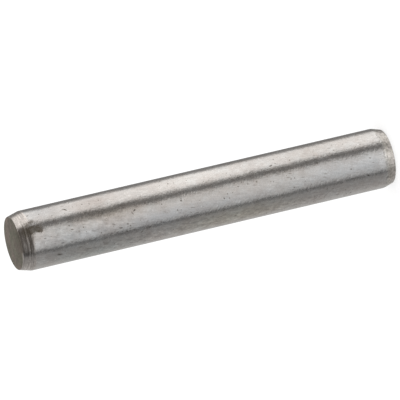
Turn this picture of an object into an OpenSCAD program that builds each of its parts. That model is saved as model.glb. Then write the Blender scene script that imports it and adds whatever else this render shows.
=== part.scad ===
// Plain steel connecting pin: a ground cylindrical shank with a turned lead-in chamfer at each end.
// It stands on its bottom face, with its axis along +Z and the origin at the centre of that face.

/* [Shank] */
// Diameter of the ground shank
shank_d = 10; // [6:0.5:20]
// Length of the pin from end face to end face
pin_length = 65.5; // [20:0.5:120]

/* [Top end] */
// Length of the top chamfer, measured along the pin
top_chamfer_length = 2; // [0.8:0.1:3]
// Angle between the top chamfer and the pin's axis
top_chamfer_angle = 15; // [5:1:30]
// Radius of the shoulder where the top chamfer runs into the shank
top_shoulder_r = 1; // [0.2:0.1:2]
// Radius of the broken edge round the top face
top_rim_r = 0.1; // [0.05:0.05:0.3]

/* [Bottom end] */
// Length of the bottom chamfer, measured along the pin
bottom_chamfer_length = 1.6; // [0.8:0.1:3]
// Angle between the bottom chamfer and the pin's axis
bottom_chamfer_angle = 17; // [5:1:30]
// Radius of the shoulder where the bottom chamfer runs into the shank
bottom_shoulder_r = 2; // [0.2:0.1:2]
// Radius of the broken edge round the bottom face
bottom_rim_r = 0.2; // [0.05:0.05:0.3]

/* [Hidden] */
$fn = 128;
// Straight steps in each rounded corner of the outline
arc_steps = 6;
shank_r = shank_d / 2;

// Points along an arc, both ends included.
function arc(centre, r, from, to) = [
    for (i = [0 : arc_steps])
        let (a = from + (to - from) * i / arc_steps)
            centre + r * [cos(a), sin(a)]
];

// Outline of one end as [radius, height], from the middle of its face at height 0 out to the shank.
function end_outline(chamfer_length, chamfer_angle, shoulder_r, rim_r) =
    let (
        face_r = shank_r - chamfer_length * tan(chamfer_angle),
        // Each arc meets the straight on either side this far from the corner that it rounds
        rim_run = rim_r * tan((90 - chamfer_angle) / 2),
        shoulder_run = shoulder_r * tan(chamfer_angle / 2),
        rim_centre = [face_r - rim_run, rim_r],
        shoulder_centre = [shank_r - shoulder_r, chamfer_length + shoulder_run]
    )
    concat(
        [[0, 0]],
        arc(rim_centre, rim_r, -90, -chamfer_angle),
        arc(shoulder_centre, shoulder_r, -chamfer_angle, 0)
    );

// The same outline at the other end of the pin, in the order that closes the section.
function turned_over(outline) = [
    for (i = [len(outline) - 1 : -1 : 0]) [outline[i][0], pin_length - outline[i][1]]
];

module pin() {
    bottom_end = end_outline(
        bottom_chamfer_length, bottom_chamfer_angle, bottom_shoulder_r, bottom_rim_r);
    top_end = end_outline(top_chamfer_length, top_chamfer_angle, top_shoulder_r, top_rim_r);
    color([0.72, 0.71, 0.69])
    rotate_extrude() polygon(concat(bottom_end, turned_over(top_end)));
}

pin();
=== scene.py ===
import math

import bpy
from mathutils import Euler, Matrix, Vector


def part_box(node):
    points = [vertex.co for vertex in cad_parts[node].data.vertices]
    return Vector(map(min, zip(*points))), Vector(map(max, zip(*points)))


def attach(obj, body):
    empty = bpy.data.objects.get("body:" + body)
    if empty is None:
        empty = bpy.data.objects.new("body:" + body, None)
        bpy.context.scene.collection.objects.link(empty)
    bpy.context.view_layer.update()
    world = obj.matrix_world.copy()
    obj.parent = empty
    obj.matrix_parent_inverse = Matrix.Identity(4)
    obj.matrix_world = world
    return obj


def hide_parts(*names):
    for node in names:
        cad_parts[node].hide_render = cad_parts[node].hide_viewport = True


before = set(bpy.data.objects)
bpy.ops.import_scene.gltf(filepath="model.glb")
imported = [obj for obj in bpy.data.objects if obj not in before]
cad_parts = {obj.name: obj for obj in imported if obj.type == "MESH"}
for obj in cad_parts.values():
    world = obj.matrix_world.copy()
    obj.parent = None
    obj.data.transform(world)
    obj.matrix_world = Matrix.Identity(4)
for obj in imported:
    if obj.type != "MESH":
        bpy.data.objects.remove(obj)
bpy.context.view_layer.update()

# ---- Turned and ground pin -------------------------------------------------
# The pin is one length of steel bar. A lathe faces its ends and cuts the two chamfers, each in a
# few turns of the tool that stay as rings, and a grinder then brings the shank to size.
MM = 0.001
low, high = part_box("pin")
shank_r = min(high.x, high.y, -low.x, -low.y)
pin_length = high.z - low.z
ARC_STEPS = 6
SEGMENTS = 256
SCALLOP_STEPS = 4
# Points closer than the first are one point, and edges bent by less than the second look round
SAME_PLACE = 0.0005 * MM
SOFT_EDGE = math.radians(40)
# How deep each turn of the tool cut, in mm, from the face out to the shoulder
top_cuts = [0.003, 0.002, 0.004, 0.003, 0.009, 0.006, 0.002]
bottom_cuts = [0.002, 0.003, 0.002, 0.003, 0.002]


def arc(centre, radius, start, end):
    """Points along an arc as (radius, height), both ends included; angles in radians."""
    angles = [start + (end - start) * i / ARC_STEPS for i in range(ARC_STEPS + 1)]
    return [(centre[0] + radius * math.cos(a), centre[1] + radius * math.sin(a)) for a in angles]


def scallops(start, end, depths_mm):
    """Points of the shallow hollows, each a parabola, that the tool left along a chamfer."""
    along = Vector(end) - Vector(start)
    inward = Vector((-along.y, along.x)).normalized()
    points = []
    for turn, depth in enumerate(depths_mm):
        for step in range(SCALLOP_STEPS):
            t = step / SCALLOP_STEPS
            place = Vector(start) + along * (turn + t) / len(depths_mm)
            points.append(tuple(place + inward * depth * MM * 4 * t * (1 - t)))
    return points


def end_profile(length, angle, shoulder_r, rim_r, cuts):
    """One end from the middle of its face, at height 0, out to the shank; mm and degrees."""
    length, shoulder_r, rim_r = length * MM, shoulder_r * MM, rim_r * MM
    angle = math.radians(angle)
    face_r = shank_r - length * math.tan(angle)
    rim_run = rim_r * math.tan((math.pi / 2 - angle) / 2)
    shoulder_run = shoulder_r * math.tan(angle / 2)
    rim = arc((face_r - rim_run, rim_r), rim_r, -math.pi / 2, -angle)
    shoulder = arc((shank_r - shoulder_r, length + shoulder_run), shoulder_r, -angle, 0)
    return [(0, 0), *rim[:-1], *scallops(rim[-1], shoulder[0], cuts), *shoulder]


bottom_end = end_profile(length=1.6, angle=17, shoulder_r=2.0, rim_r=0.2, cuts=bottom_cuts)
top_end = end_profile(length=2.0, angle=15, shoulder_r=1.0, rim_r=0.1, cuts=top_cuts)
profile = bottom_end + [(r, pin_length - z) for r, z in reversed(top_end)]

bpy.ops.object.select_all(action="DESELECT")
bpy.ops.mesh.primitive_plane_add(size=MM)
pin = bpy.context.object
pin.name = pin.data.name = "turned_pin"
bpy.ops.object.mode_set(mode="EDIT")
bpy.ops.mesh.merge(type="CENTER")
for (r0, z0), (r1, z1) in zip(profile, profile[1:]):
    bpy.ops.mesh.extrude_region_move(TRANSFORM_OT_translate={"value": (r1 - r0, 0, z1 - z0)})
bpy.ops.mesh.select_all(action="SELECT")
bpy.ops.mesh.spin(steps=SEGMENTS, angle=2 * math.pi, center=(0, 0, 0), axis=(0, 0, 1))
bpy.ops.mesh.select_all(action="SELECT")
bpy.ops.mesh.remove_doubles(threshold=SAME_PLACE)
bpy.ops.mesh.normals_make_consistent(inside=False)
bpy.ops.object.mode_set(mode="OBJECT")
bpy.ops.object.shade_smooth_by_angle(angle=SOFT_EDGE)
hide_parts("pin")
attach(pin, "root")

# ---- Ground shank ----------------------------------------------------------
# Bright steel, centreless ground: faint marks run round the pin on a slant, and they and the
# slight waves of the surface fray the edges of what it reflects. Handling left small nicks and
# specks, and a film of oil that is warm in places and cool in others.
OPAQUE = 1.0
# How far the edges of film, stain and smudge wander, and the size of the lumps they wander by
FRAY = 1.8 * MM
FRAY_SIZE = 0.7 * MM
# Noise keeps mostly to this part of its range from 0 to 1
NOISE_LOW, NOISE_HIGH = 0.3, 0.7
# Nicks and scratches keep closer to their places, with this share of that
CHIPPED_SHARE = 0.3
# How far an oval mark reaches in and out from the surface
MARK_REACH = 3 * MM
NICK_DEPTH = 0.02 * MM
# This share of the cells that specks lie in has none
EMPTY_CELLS = 0.2
DRIED_OIL = "#6c6356"
OILY_ROUGHNESS = 0.45


def colour(hex_code):
    """An sRGB hex colour as the linear values that a node takes."""
    parts = [int(hex_code[i:i + 2], 16) / 255 for i in (1, 3, 5)]
    linear = [p / 12.92 if p <= 0.04045 else ((p + 0.055) / 1.055) ** 2.4 for p in parts]
    return (*linear, OPAQUE)


def add(tree, kind, inputs, **settings):
    """Adds a node; inputs gives each socket a value or the output that feeds it.

    Mix nodes have several sockets of one name, so theirs go by number: 0 is the share of the
    second, and 2 and 3 are numbers, 4 and 5 vectors, 6 and 7 colours.
    """
    node = tree.nodes.new(kind)
    for name, value in settings.items():
        setattr(node, name, value)
    for socket, value in inputs.items():
        if isinstance(value, bpy.types.NodeSocket):
            tree.links.new(value, node.inputs[socket])
        else:
            node.inputs[socket].default_value = value
    return node


def bar_stock(name):
    """A new material for the pin, the place of each point on it, and the same place frayed."""
    mat = bpy.data.materials.new(name)
    mat.use_nodes = True
    mat.node_tree.nodes.clear()
    pin.data.materials.append(mat)
    tree = mat.node_tree
    place = add(tree, "ShaderNodeTexCoord", {}).outputs["Object"]
    drift = add(tree, "ShaderNodeTexNoise", {
        "Vector": place, "Scale": 1 / FRAY_SIZE, "Detail": 5.0, "Roughness": 0.7})
    centred = add(tree, "ShaderNodeVectorMath", {0: drift.outputs["Color"], 1: (0.5, 0.5, 0.5)},
                  operation="SUBTRACT")
    frayed = add(tree, "ShaderNodeVectorMath",
                 {0: centred.outputs[0], 1: (FRAY, FRAY, FRAY), 2: place},
                 operation="MULTIPLY_ADD").outputs[0]
    return tree, place, frayed


def cloud(tree, place, size_mm, least, most, detail=2.0, slant=0, crumble=0.5):
    """A value that wanders from least to most, in blotches of this size along X, Y and Z.

    slant turns the blotches, in degrees, and more crumble makes their edges rougher.
    """
    size = size_mm if isinstance(size_mm, tuple) else (size_mm,) * 3
    fitted = add(tree, "ShaderNodeMapping", {
        "Vector": place, "Rotation": (0, math.radians(slant), 0),
        "Scale": [side * MM for side in size]}, vector_type="TEXTURE")
    noise = add(tree, "ShaderNodeTexNoise", {
        "Vector": fitted.outputs[0], "Scale": 1.0, "Detail": detail, "Roughness": crumble})
    return add(tree, "ShaderNodeMapRange", {
        "Value": noise.outputs[0], "From Min": NOISE_LOW, "From Max": NOISE_HIGH,
        "To Min": least, "To Max": most}).outputs[0]


def mottled(tree, place, shade, clouds):
    """A colour made lighter and darker by each (size, least, most, slant, crumble) in a list."""
    for size, least, most, slant, crumble in clouds:
        amount = cloud(tree, place, size, least, most, detail=5.0, slant=slant, crumble=crumble)
        shade = add(tree, "ShaderNodeMix", {0: 1.0, 6: shade, 7: amount}, data_type="RGBA",
                    blend_type="MULTIPLY").outputs[2]
    return shade


def spot(tree, place, from_top, turn, size, slant=0, edge=0.5, share=1.0):
    """Where an oval mark is, from 0 outside to its share inside.

    It lies from_top mm below the top face and turn degrees round from the front, is size mm
    long along and round the pin, and slants by slant degrees. edge is where it starts to fade,
    from 0 for its middle up to 1.
    """
    turn = math.radians(turn)
    centre = (shank_r * math.sin(turn), -shank_r * math.cos(turn), pin_length - from_top * MM)
    oval = (size[1] * MM / 2, MARK_REACH, size[0] * MM / 2)
    inside = add(tree, "ShaderNodeMapping", {
        "Vector": place, "Location": centre, "Rotation": (0, math.radians(slant), turn),
        "Scale": oval}, vector_type="TEXTURE")
    depth = add(tree, "ShaderNodeTexGradient", {"Vector": inside.outputs[0]},
                gradient_type="SPHERICAL")
    return add(tree, "ShaderNodeMapRange", {
        "Value": depth.outputs["Fac"], "From Min": 0.0, "From Max": 1.0 - edge,
        "To Min": 0.0, "To Max": share}, interpolation_type="SMOOTHSTEP").outputs[0]


def finish(tree, shade, roughness, height):
    """The steel surface itself, from its colour, its roughness and its height in metres."""
    bump = add(tree, "ShaderNodeBump", {"Strength": 1.0, "Distance": 1.0, "Height": height})
    surface = add(tree, "ShaderNodeBsdfPrincipled", {
        "Base Color": shade, "Metallic": 1.0, "Roughness": roughness,
        "Normal": bump.outputs[0]})
    add(tree, "ShaderNodeOutputMaterial", {"Surface": surface.outputs[0]})


# Each part of the stain: mm from the top face, degrees round from the front, mm along and
# round the pin, where it starts to fade, and how strong it is
stain_parts = [
    (3.2, 16, (2.1, 1.5), 0.6, 1.0), (2.2, 17, (2.0, 1.9), 0.6, 0.95),
    (1.1, 17, (2.1, 2.6), 0.3, 0.8), (2.5, 34, (1.6, 1.3), 0.2, 0.8),
    (1.6, 30, (1.2, 0.9), 0.2, 0.7), (4.0, 19, (1.6, 1.2), 0.0, 0.6),
    (2.2, 2, (1.0, 1.4), 0.0, 0.4), (13.0, 15, (16.0, 1.5), 0.0, 0.4)]


def oil_stain(tree, place, frayed):
    """Where the brown-black oil has dried, across the top shoulder and in its chamfer."""
    stain = 0.0
    for from_top, turn, size, edge, share in stain_parts:
        part = spot(tree, frayed, from_top, turn, size, edge=edge, share=share)
        stain = add(tree, "ShaderNodeMath", {0: stain, 1: part}, operation="MAXIMUM").outputs[0]
    worn = cloud(tree, place, 0.5, 0.62, 1.15, detail=5.0, crumble=0.8)
    return add(tree, "ShaderNodeMath", {0: stain, 1: worn}, operation="MULTIPLY").outputs[0]


# Each patch of the oil film: mm from the top face, degrees round from the front, mm along and
# round the pin, how strong it is, and the colour that it gives the steel
film_patches = [
    (5, 50, (12, 6), 0.8, "#cdcccb"), (13, 50, (14, 6), 0.8, "#cec7c2"),
    (31, 47, (24, 6), 0.7, "#eeeae5"), (51, 46, (10, 5), 0.6, "#d0cac4"),
    (61, 46, (12, 5), 0.5, "#e6e3df"), (58, -2, (28, 7), 0.9, "#dfdfdf"),
    (22, -16, (50, 4), 0.8, "#dad9d9"), (37, -50, (32, 6), 0.9, "#dfdace"),
    (12, -62, (24, 7), 0.8, "#cbcecb"), (10, -30, (20, 3), 0.4, "#dcddda"),
    (17, 16, (22, 3.2), 0.6, "#d0c8be"), (45, 22, (20, 2), 0.5, "#cfc9c2"),
    (17, -9, (14, 5), 0.5, "#dcd4cd"), (8, 0, (10, 4), 0.5, "#d0cecb"),
    (3, -48, (3, 5), 0.7, "#f4f3f0"), (2.6, -16, (2.4, 2.8), 0.6, "#fbfaf8"),
    (63.4, -8, (3, 5), 0.7, "#fbfaf8")]

# Each nick: mm from the top face, degrees round from the front, mm along and round the pin,
# its slant in degrees, and how dark and deep it is
nicks = [
    (8.75, 43, (1.2, 0.35), 40, 1.0), (8.4, 45, (0.7, 0.3), 0, 0.5),
    (19.8, 9, (0.6, 0.4), -40, 0.85), (19.4, 5, (0.35, 0.9), -25, 0.65),
    (27.9, 7, (0.45, 0.5), 0, 0.8), (28.0, 10, (0.3, 0.6), 0, 0.5),
    (4.0, -5, (0.7, 0.35), 0, 0.5), (6.2, -44, (1.3, 0.6), 10, 0.75),
    (6.3, -44, (0.5, 0.3), 0, 0.6), (6.8, -21, (0.9, 0.35), 0, 0.5),
    (44.4, 33, (0.7, 0.4), 0, 0.9), (43.6, 3, (0.3, 0.25), 0, 0.4),
    (44.0, 2, (0.25, 0.3), 0, 0.7), (60.4, -29, (0.6, 0.5), 30, 0.8),
    (61.1, 4, (0.5, 0.35), 0, 0.9), (11.8, 47, (0.5, 0.3), -30, 0.6),
    (17.7, 44, (0.4, 0.3), 0, 0.3), (35.2, -8, (0.35, 0.5), 0, 0.8),
    (16.9, -18, (1.0, 0.3), 15, 0.9), (15.9, -8, (1.2, 0.25), 35, 0.5),
    (6.3, 37, (0.5, 0.3), 0, 0.35), (2.4, 50, (0.6, 0.4), 0, 0.6),
    (13.0, 44, (0.3, 0.5), 0, 0.5), (41.2, 26, (0.4, 0.3), 0, 0.5)]

# Each faint scratch, in the same way; a scratch only dulls the metal
scratches = [
    (6.9, -14, (0.4, 0.4), 0, 0.25), (8.3, -22, (0.6, 0.4), 20, 0.3),
    (8.8, 0, (0.7, 0.35), 15, 0.8), (9.9, -6, (0.5, 0.4), 0, 0.5),
    (9.8, -12, (0.6, 0.25), 15, 0.35), (12.1, -10, (0.4, 0.4), 0, 0.3),
    (14.6, 3, (1.6, 0.22), 12, 0.4), (15.8, -12, (0.35, 0.5), 0, 0.35),
    (18.2, -13, (0.5, 0.4), 30, 0.8), (18.2, -19, (0.7, 0.25), 0, 0.4),
    (21.6, -17, (0.6, 0.3), -10, 0.4), (19.3, -27, (0.6, 0.4), 0, 0.4),
    (20.5, -36, (0.7, 0.45), -20, 0.6), (9.7, -38, (1.0, 0.4), 0, 0.4),
    (11.3, -46, (1.6, 0.3), 15, 0.45), (13.2, -44, (0.25, 0.6), 0, 0.2),
    (14.4, -44, (1.6, 0.8), 0, 0.35), (18.2, -47, (0.5, 0.3), 15, 0.3),
    (5.2, -34, (0.8, 0.3), 15, 0.35), (4.4, -29, (0.8, 0.4), 10, 0.35)]

# Each kind of fine speck: the size of its cells in mm, how much of one it fills, how dark it
# is, and the slant of its cells in degrees
fine_specks = [
    (0.75, 0.22, 0.75, 0), ((0.6, 0.6, 2.4), 0.22, 0.4, 12), ((0.6, 0.6, 2.0), 0.2, 0.3, -60)]

# Where the metal is scuffed: mm from the top face, degrees round from the front, mm along and
# round the pin, and how strongly
scuffs = [(30, -55, (70, 4.6), 1.0), (10, 0, (26, 6), 0.7)]


def specks(tree, place, cell_mm, largest, share, slant=0):
    """Where specks lie, from 0 outside to their share inside.

    There is one at most in each cell, and the largest reach this part of a cell. slant turns
    the cells, in degrees.
    """
    cell = cell_mm if isinstance(cell_mm, tuple) else (cell_mm,) * 3
    fitted = add(tree, "ShaderNodeMapping", {
        "Vector": place, "Rotation": (0, math.radians(slant), 0),
        "Scale": [side * MM for side in cell]}, vector_type="TEXTURE")
    cells = add(tree, "ShaderNodeTexVoronoi", {"Vector": fitted.outputs[0], "Scale": 1.0})
    chosen = add(tree, "ShaderNodeSeparateColor", {0: cells.outputs["Color"]})
    reach = add(tree, "ShaderNodeMapRange", {
        "Value": chosen.outputs[0], "From Min": EMPTY_CELLS, "From Max": 1.0,
        "To Min": 0.0, "To Max": largest}).outputs[0]
    core = add(tree, "ShaderNodeMath", {0: reach, 1: 0.5}, operation="MULTIPLY").outputs[0]
    return add(tree, "ShaderNodeMapRange", {
        "Value": cells.outputs["Distance"], "From Min": reach, "From Max": core,
        "To Min": 0.0, "To Max": share}).outputs[0]


# Bright and faintly satin, so it mirrors its surroundings in soft bands along the shank. Real
# grinding marks are finer than a pixel, so these are drawn coarser, from 0.2 mm up, and so are
# the smallest specks.
tree, place, frayed = bar_stock("ground_steel")
shade = colour("#dedad6")
for from_top, turn, size, share, film in film_patches:
    where = spot(tree, frayed, from_top, turn, size, edge=0.0, share=share)
    shade = add(tree, "ShaderNodeMix", {0: where, 6: shade, 7: colour(film)},
                data_type="RGBA").outputs[2]
shade = mottled(tree, place, shade, (
    (3.0, 0.88, 1.12, 0, 0.85), (0.9, 0.95, 1.05, 0, 0.7), (0.25, 0.95, 1.05, 0, 0.6),
    ((0.22, 0.22, 1.4), 0.92, 1.08, 12, 0.5)))
scuffed = mottled(tree, place, shade, (((0.5, 0.5, 0.9), 0.75, 1.25, 12, 0.6),))
for from_top, turn, size, share in scuffs:
    where = spot(tree, frayed, from_top, turn, size, edge=0.4, share=share)
    shade = add(tree, "ShaderNodeMix", {0: where, 6: shade, 7: scuffed},
                data_type="RGBA").outputs[2]
tint = cloud(tree, place, 3.0, 0.0, 1.0, detail=4.0, crumble=0.8)
tints = add(tree, "ShaderNodeMix", {0: tint, 6: colour("#fffbf9"), 7: colour("#fafdff")},
            data_type="RGBA").outputs[2]
shade = add(tree, "ShaderNodeMix", {0: 1.0, 6: shade, 7: tints}, data_type="RGBA",
            blend_type="MULTIPLY").outputs[2]
dark = 0.0
for cell, largest, share, slant in fine_specks:
    speck = specks(tree, place, cell, largest, share, slant)
    dark = add(tree, "ShaderNodeMath", {0: speck, 1: dark}, operation="MAXIMUM").outputs[0]
chipped = add(tree, "ShaderNodeMix", {0: CHIPPED_SHARE, 4: place, 5: frayed},
              data_type="VECTOR").outputs[1]
for from_top, turn, size, slant, depth in scratches:
    scratch = spot(tree, chipped, from_top, turn, size, slant, edge=0.2, share=depth)
    dark = add(tree, "ShaderNodeMath", {0: scratch, 1: dark}, operation="MAXIMUM").outputs[0]
nicked = 0.0
for from_top, turn, size, slant, depth in nicks:
    nick = spot(tree, chipped, from_top, turn, size, slant, edge=0.2, share=depth)
    nicked = add(tree, "ShaderNodeMath", {0: nick, 1: nicked}, operation="MAXIMUM").outputs[0]
for marked, dulled in ((dark, "#7d756a"), (nicked, "#5f584e")):
    shade = add(tree, "ShaderNodeMix", {0: marked, 6: shade, 7: colour(dulled)},
                data_type="RGBA").outputs[2]
# Painted highlights: small near-white slanted streaks in the colour, standing in for glints
painted_glint = specks(tree, place, (0.7, 0.7, 2.0), largest=0.2, share=0.7, slant=-62)
shade = add(tree, "ShaderNodeMix", {0: painted_glint, 6: shade, 7: colour("#faf7f4")},
            data_type="RGBA").outputs[2]
stain = oil_stain(tree, place, frayed)
shade = add(tree, "ShaderNodeMix", {0: stain, 6: shade, 7: colour(DRIED_OIL)},
            data_type="RGBA").outputs[2]
roughness = add(tree, "ShaderNodeMix", {
    0: stain, 2: cloud(tree, place, 0.8, 0.17, 0.23), 3: OILY_ROUGHNESS}).outputs[0]
# Slow waves, then grinding marks on a slant and a fine grain over them
height = cloud(tree, place, 4.0, -0.02 * MM, 0.02 * MM, detail=1.0)
for size, depth, slant in (((1.0, 1.0, 0.33), 0.007 * MM, 20), (0.35, 0.003 * MM, 0)):
    marks = cloud(tree, place, size, -depth, depth, slant=slant)
    height = add(tree, "ShaderNodeMath", {0: height, 1: marks}, operation="ADD").outputs[0]
height = add(tree, "ShaderNodeMath", {0: nicked, 1: -NICK_DEPTH, 2: height},
             operation="MULTIPLY_ADD").outputs[0]
finish(tree, shade, roughness, height)

# ---- Turned chamfers -------------------------------------------------------
# Steel left as the lathe cut it: rings of bright and dull metal. Oil and dirt have dried in the
# rings of the top chamfer, and a thin warm film covers the bottom one.
RING_DEPTH = 0.02 * MM


def up_to(tree, place, start, end):
    """Rises from 0 to 1 as the height above the bottom face goes from start to end, in mm."""
    axes = add(tree, "ShaderNodeSeparateXYZ", {0: place})
    return add(tree, "ShaderNodeMapRange", {
        "Value": axes.outputs["Z"], "From Min": start * MM, "From Max": end * MM,
        "To Min": 0.0, "To Max": 1.0}, interpolation_type="SMOOTHSTEP").outputs[0]


# The rings of the top chamfer: mm from the top face, and how bright the metal is there, 0 to 1.
# It also dips by this share of the rings' depth, so a ring has a bright flank and a dark one.
rings = [
    (0.0, 0.0), (0.2, 0.25), (0.5, 0.5), (0.75, 0.55), (0.97, 0.1), (1.1, 0.8),
    (1.2, 1.0), (1.3, 0.5), (1.42, 0.0), (1.58, 0.5), (1.72, 0.2), (1.86, 0.5), (2.2, 0.8)]

# Bright and dull rings in one grey, with brown dirt between them on the front side
tree, place, frayed = bar_stock("turned_steel")
axes = add(tree, "ShaderNodeSeparateXYZ", {0: place})
last_ring = rings[-1][0]
across = add(tree, "ShaderNodeMapRange", {
    "Value": axes.outputs["Z"], "From Min": pin_length, "From Max": pin_length - last_ring * MM})
ring = add(tree, "ShaderNodeValToRGB", {"Fac": across.outputs[0]})
stops = ring.color_ramp.elements
stops.remove(stops[0])
for i, (from_top, level) in enumerate(rings):
    stop = stops[0] if i == 0 else stops.new(from_top / last_ring)
    stop.position = from_top / last_ring
    stop.color = (level, level, level, OPAQUE)
broken = cloud(tree, place, (1.0, 1.0, 0.2), 0.35, 1.5, detail=4.0)
bright = add(tree, "ShaderNodeMath", {0: ring.outputs[0], 1: broken}, operation="MULTIPLY",
             use_clamp=True).outputs[0]
shade = add(tree, "ShaderNodeMix", {0: bright, 6: colour("#cec7c1"), 7: colour("#ece5df")},
            data_type="RGBA").outputs[2]
shade = mottled(tree, place, shade, (
    ((3.0, 3.0, 0.18), 0.8, 1.2, 0, 0.5), ((0.6, 0.6, 0.12), 0.78, 1.2, 0, 0.6),
    (0.35, 0.86, 1.14, 0, 0.7)))
dirty_side = spot(tree, frayed, from_top=0.9, turn=0, size=(3.6, 5.8), edge=0.75)
dirt = add(tree, "ShaderNodeMath", {0: bright, 1: -1.0, 2: 1.0},
           operation="MULTIPLY_ADD").outputs[0]
dirt = add(tree, "ShaderNodeMath", {0: dirty_side, 1: dirt}, operation="MULTIPLY").outputs[0]
shade = add(tree, "ShaderNodeMix", {0: dirt, 6: shade, 7: colour("#776e66")},
            data_type="RGBA").outputs[2]
stain = oil_stain(tree, place, frayed)
shade = add(tree, "ShaderNodeMix", {0: stain, 6: shade, 7: colour(DRIED_OIL)},
            data_type="RGBA").outputs[2]
roughness = add(tree, "ShaderNodeMix", {0: stain, 2: 0.22, 3: OILY_ROUGHNESS}).outputs[0]
height = cloud(tree, place, (6.0, 6.0, 0.25), -0.005 * MM, 0.005 * MM)
height = add(tree, "ShaderNodeMath", {0: ring.outputs[0], 1: -RING_DEPTH, 2: height},
             operation="MULTIPLY_ADD").outputs[0]
finish(tree, shade, roughness, height)

# A plain pale bevel, warmer and a little duller towards the rim
tree, place, frayed = bar_stock("oily_turned_steel")
film = cloud(tree, place, 0.6, 0.0, 1.0, detail=3.0)
shade = add(tree, "ShaderNodeMix", {0: film, 6: colour("#e9e2dd"), 7: colour("#d3cfc6")},
            data_type="RGBA").outputs[2]
shade = add(tree, "ShaderNodeMix", {
    0: up_to(tree, frayed, 1.1, 2.0), 6: shade, 7: colour("#dddad6")},
    data_type="RGBA").outputs[2]
shade = mottled(tree, place, shade, (
    (0.5, 0.5, 1.4, 0, 0.7), ((1.2, 1.2, 0.3), 0.88, 1.08, 0, 0.5)))
roughness = add(tree, "ShaderNodeMix", {
    0: up_to(tree, place, 1.9, 1.0), 2: 0.2, 3: 0.3}).outputs[0]
height = cloud(tree, place, 0.5, -0.008 * MM, 0.008 * MM)
finish(tree, shade, roughness, height)

# ---- Faced ends ------------------------------------------------------------
# Steel faced on the lathe and gone dull: a grey-brown film with faint pinkish and olive blotches,
# darker at a smudge by the rim, with painted shade that darkens the front side, and too rough
# for more than a soft sheen.
tree, place, frayed = bar_stock("faced_steel")
film = cloud(tree, place, 2.6, -0.2, 1.2, detail=3.0)
shade = add(tree, "ShaderNodeMix", {0: film, 6: colour("#93867d"), 7: colour("#817f70")},
            data_type="RGBA").outputs[2]
# Painted shade: the face darkens towards its front side, by up to half, in a gradient along Y
axes = add(tree, "ShaderNodeSeparateXYZ", {0: place})
painted_shade_side = add(tree, "ShaderNodeMapRange", {
    "Value": axes.outputs["Y"], "From Min": -4.5 * MM, "From Max": 1.5 * MM,
    "To Min": 0.5, "To Max": 0.0}).outputs[0]
shade = add(tree, "ShaderNodeMix", {0: painted_shade_side, 6: shade, 7: colour("#5e574b")},
            data_type="RGBA").outputs[2]
smudge = spot(tree, frayed, from_top=0.0, turn=6, size=(3.0, 7.0), edge=0.2, share=0.6)
shade = add(tree, "ShaderNodeMix", {0: smudge, 6: shade, 7: colour("#4c463a")},
            data_type="RGBA").outputs[2]
shade = mottled(tree, place, shade, ((1.2, 0.76, 1.24, 0, 0.6), (0.4, 0.7, 1.3, 0, 0.7)))
height = cloud(tree, place, 0.35, -0.01 * MM, 0.01 * MM)
finish(tree, shade, 0.5, height)

# The four finishes, in the order in which the pin was given them
GROUND, TURNED, OILY, FACED = range(4)
# A face of one of the ends points along the axis by this share or more
FLAT = 0.99
bottom_turned = bottom_end[-1][1]
top_turned = pin_length - top_end[-1][1]
for face in pin.data.polygons:
    if abs(face.normal.z) > FLAT:
        face.material_index = FACED
    elif face.center.z < bottom_turned:
        face.material_index = OILY
    elif face.center.z > top_turned:
        face.material_index = TURNED
    else:
        face.material_index = GROUND

# ---- Floor -----------------------------------------------------------------
# A sheet of matt white paper under the pin. It glows a little to the camera alone, so it shows
# white and keeps only a trace of the shadow. The metal mirrors the studio's cards in its place.
FLOOR_SIZE = 20
PAPER_GLOW = 0.6
bpy.ops.object.select_all(action="DESELECT")
bpy.ops.mesh.primitive_plane_add(size=FLOOR_SIZE)
floor = bpy.context.object
floor.name = "floor"
floor.visible_glossy = False
paper = bpy.data.materials.new("matt_white_paper")
paper.use_nodes = True
tree = paper.node_tree
tree.nodes.clear()
sheet = add(tree, "ShaderNodeBsdfDiffuse", {"Color": colour("#bcbcbc")})
seen = add(tree, "ShaderNodeLightPath", {}).outputs["Is Camera Ray"]
glow_part = add(tree, "ShaderNodeMath", {0: seen, 1: PAPER_GLOW}, operation="MULTIPLY")
glow = add(tree, "ShaderNodeEmission", {
    "Color": colour("#ffffff"), "Strength": glow_part.outputs[0]})
both = add(tree, "ShaderNodeAddShader", {0: sheet.outputs[0], 1: glow.outputs[0]})
add(tree, "ShaderNodeOutputMaterial", {"Surface": both.outputs[0]})
floor.data.materials.append(paper)

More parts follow.
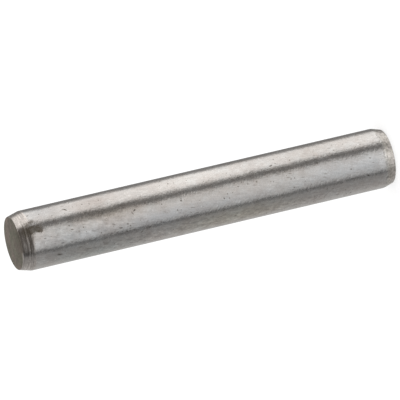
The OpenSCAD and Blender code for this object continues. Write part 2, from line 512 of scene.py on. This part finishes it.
# ---- Studio ----------------------------------------------------------------
# White all round, with grey and black cards that only the polished metal sees. Each ring of
# cards takes over between two heights, in degrees, and lists the azimuth of each card from the
# front, in degrees, its brightness and its warmth. A white card lies over them all.
CARD_OVERHEAD = (0.85, 0.85, 0.85, OPAQUE)
OVERHEAD_FROM, OVERHEAD_ALL = math.radians(30), math.radians(50)
card_rings = [
    (-90, -89, [
        (-180, 0.50, 0.02), (-130, 0.48, 0.02), (-100, 0.32, 0.02), (-72, 0.26, 0.02),
        (-58, 0.32, 0.0), (-45, 0.62, 0.0), (-25, 0.78, 0.0), (0, 0.88, 0.0), (25, 0.80, 0.01),
        (38, 0.52, 0.02), (52, 0.40, 0.02), (62, 0.32, 0.02), (73, 0.70, 0.01), (84, 0.90, 0.01),
        (115, 0.92, 0.01), (128, 0.48, 0.01), (140, 0.26, 0.01)]),
    (-40, -24, [
        (-180, 0.50, 0.01), (-150, 0.48, 0.01), (-134, 0.45, 0.01), (-110, 0.35, 0.01),
        (-89, 0.30, 0.0), (-71, 0.28, -0.01), (-64, 0.26, -0.01), (-60, 0.10, -0.02),
        (-54, 0.12, -0.02), (-49, 0.38, -0.02), (-42, 0.48, -0.02), (-23, 0.60, -0.02),
        (0, 0.70, 0.0), (18, 0.68, 0.01), (28, 0.54, 0.02), (35, 0.22, 0.02), (42, 0.15, 0.02),
        (49, 0.15, 0.02), (58, 0.45, 0.01), (65, 0.86, 0.01), (75, 0.97, 0.01), (84, 1.0, 0.01),
        (118, 1.0, 0.01), (124, 0.70, 0.01), (130, 0.33, 0.01), (140, 0.22, 0.01),
        (150, 0.22, 0.01), (165, 0.25, 0.01)]),
    (0, 9, [
        (-180, 0.45, 0.01), (-120, 0.36, 0.01), (-100, 0.30, 0.0), (-74, 0.24, 0.0),
        (-64, 0.07, -0.02), (-58, 0.04, -0.02), (-52, 0.12, 0.0), (-42, 0.23, 0.0),
        (-20, 0.23, 0.01), (10, 0.22, 0.02), (30, 0.19, 0.02), (44, 0.18, 0.02),
        (54, 0.40, 0.01), (64, 0.90, 0.01), (115, 1.0, 0.01), (130, 0.4, 0.01)])]

world = bpy.data.worlds.new("studio")
bpy.context.scene.world = world
world.use_nodes = True
tree = world.node_tree
tree.nodes.clear()
way = add(tree, "ShaderNodeTexCoord", {}).outputs["Generated"]
axes = add(tree, "ShaderNodeSeparateXYZ", {0: way})
front = add(tree, "ShaderNodeMath", {0: axes.outputs["Y"], 1: -1.0}, operation="MULTIPLY")
azimuth = add(tree, "ShaderNodeMath", {0: axes.outputs["X"], 1: front.outputs[0]},
              operation="ARCTAN2")
turn = add(tree, "ShaderNodeMapRange", {
    "Value": azimuth.outputs[0], "From Min": -math.pi, "From Max": math.pi})
height = add(tree, "ShaderNodeMath", {0: axes.outputs["Z"]}, operation="ARCSINE").outputs[0]
sides = (0, 0, 0, OPAQUE)
for start, end, cards in card_rings:
    ring = add(tree, "ShaderNodeValToRGB", {"Fac": turn.outputs[0]})
    stops = ring.color_ramp.elements
    stops.remove(stops[0])
    for i, (angle, level, warmth) in enumerate(cards):
        stop = stops[0] if i == 0 else stops.new((angle + 180) / 360)
        stop.position = (angle + 180) / 360
        stop.color = (level * (1 + warmth), level, level * (1 - warmth), OPAQUE)
    share = add(tree, "ShaderNodeMapRange", {
        "Value": height, "From Min": math.radians(start), "From Max": math.radians(end)},
        interpolation_type="SMOOTHSTEP").outputs[0]
    sides = add(tree, "ShaderNodeMix", {0: share, 6: sides, 7: ring.outputs["Color"]},
                data_type="RGBA").outputs[2]
overhead = add(tree, "ShaderNodeMapRange", {
    "Value": height, "From Min": OVERHEAD_FROM, "From Max": OVERHEAD_ALL}).outputs[0]
sides = add(tree, "ShaderNodeMix", {0: overhead, 6: sides, 7: CARD_OVERHEAD},
            data_type="RGBA").outputs[2]
glossy = add(tree, "ShaderNodeLightPath", {}).outputs["Is Glossy Ray"]
seen = add(tree, "ShaderNodeMix", {0: glossy, 6: colour("#ffffff"), 7: sides},
           data_type="RGBA").outputs[2]
sky = add(tree, "ShaderNodeBackground", {"Color": seen, "Strength": 1.0})
add(tree, "ShaderNodeOutputWorld", {"Surface": sky.outputs[0]})

# ---- Camera ----------------------------------------------------------------
# It stands in front of the pin and a little above its middle, and is turned on its side, so the
# pin lies across the picture with its top end at the lower left.
picture_width = 400  # pixels, as is the next
pin_width_in_picture = 60.99
camera_distance = 1.6  # metres
camera_height = 17.08  # degrees above the level of the pin's middle
roll = 90 + 13.17  # degrees
right_of_middle = 0.11 * MM
above_middle = 0.065 * MM
camera_data = bpy.data.cameras.new("camera")
camera = bpy.data.objects.new("camera", camera_data)
bpy.context.scene.collection.objects.link(camera)
camera_data.lens = (camera_data.sensor_width * pin_width_in_picture / picture_width
                    * camera_distance / (2 * shank_r))
turn_down = Euler((math.radians(90 - camera_height), 0, 0)).to_quaternion()
camera.rotation_mode = "QUATERNION"
camera.rotation_quaternion = turn_down @ Euler((0, 0, -math.radians(roll))).to_quaternion()
camera.location = (Vector((0, 0, pin_length / 2))
                   + camera.rotation_quaternion @ Vector((-right_of_middle, -above_middle,
                                                          camera_distance)))
bpy.context.scene.camera = camera
bpy.context.scene.view_settings.view_transform = "Standard"
